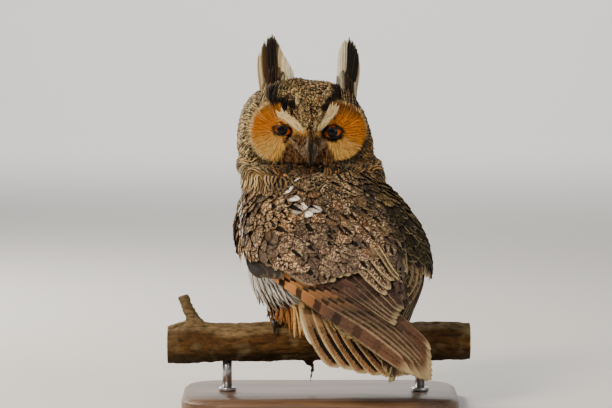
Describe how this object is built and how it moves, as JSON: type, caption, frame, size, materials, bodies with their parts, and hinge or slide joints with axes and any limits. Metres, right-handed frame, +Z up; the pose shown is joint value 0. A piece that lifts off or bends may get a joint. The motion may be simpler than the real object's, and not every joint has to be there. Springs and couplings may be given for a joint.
{
  "type": "long-eared owl display model",
  "caption": "Still, life-size long-eared owl with raised ear tufts, perched on a short branch and looking back over its shoulder, held by a plain display stand.",
  "frame": {"origin": "centre of the underside of the stand's base", "axes": "+Z up, the perch runs along X, the owl's body faces +Y and somewhat towards -X, and its head is turned back to look towards -Y"},
  "size_m": [0.254, 0.2197, 0.311],
  "materials": {
    "back_feathers": "dark brown and grey feathers with buff edges, fine pale freckling and black shaft streaks",
    "ruff_feathers": "buff and brown neck feathers with dark streaks",
    "face_feathers": "orange-buff facial discs with a thin dark rim, pale brows and grey bristles",
    "wing_feathers": "barred and freckled brown flight feathers, orange at the base of the outer ones",
    "tail_feathers": "brown tail feathers with dark bars and cream edges",
    "leg_feathers": "short orange-brown downy feathers on the legs and toes",
    "tuft_feathers": "blackish feathers with a pale inner edge and a buff outer edge",
    "eye": "deep orange iris round a large black pupil, wet gloss",
    "bill_horn": "dark horn, satin",
    "claw_horn": "black horn, smooth",
    "perch_bark": "weathered brown bark with golden and grey patches, pale sawn ends",
    "stand_wood": "dark stained hardwood, satin",
    "stand_steel": "brushed steel rod"
  },
  "bodies": {
    "root": {"torso": "back_feathers", "neck": "ruff_feathers", "head": "face_feathers", "eye_left": "eye", "eye_right": "eye", "bill_upper": "bill_horn", "bill_lower": "bill_horn", "tuft_left": "tuft_feathers", "tuft_right": "tuft_feathers", "wing_left": "wing_feathers", "wing_right": "wing_feathers", "tail": "tail_feathers", "leg_left": "leg_feathers", "leg_right": "leg_feathers", "foot_left": "leg_feathers", "foot_right": "leg_feathers", "perch": "perch_bark", "stand_base": "stand_wood", "stand_rod_1": "stand_steel", "stand_rod_2": "stand_steel", "claw_left_inner": "claw_horn", "claw_left_middle": "claw_horn", "claw_left_outer": "claw_horn", "claw_left_hind": "claw_horn", "claw_right_inner": "claw_horn", "claw_right_middle": "claw_horn", "claw_right_outer": "claw_horn", "claw_right_hind": "claw_horn"}
  },
  "joints": []
}
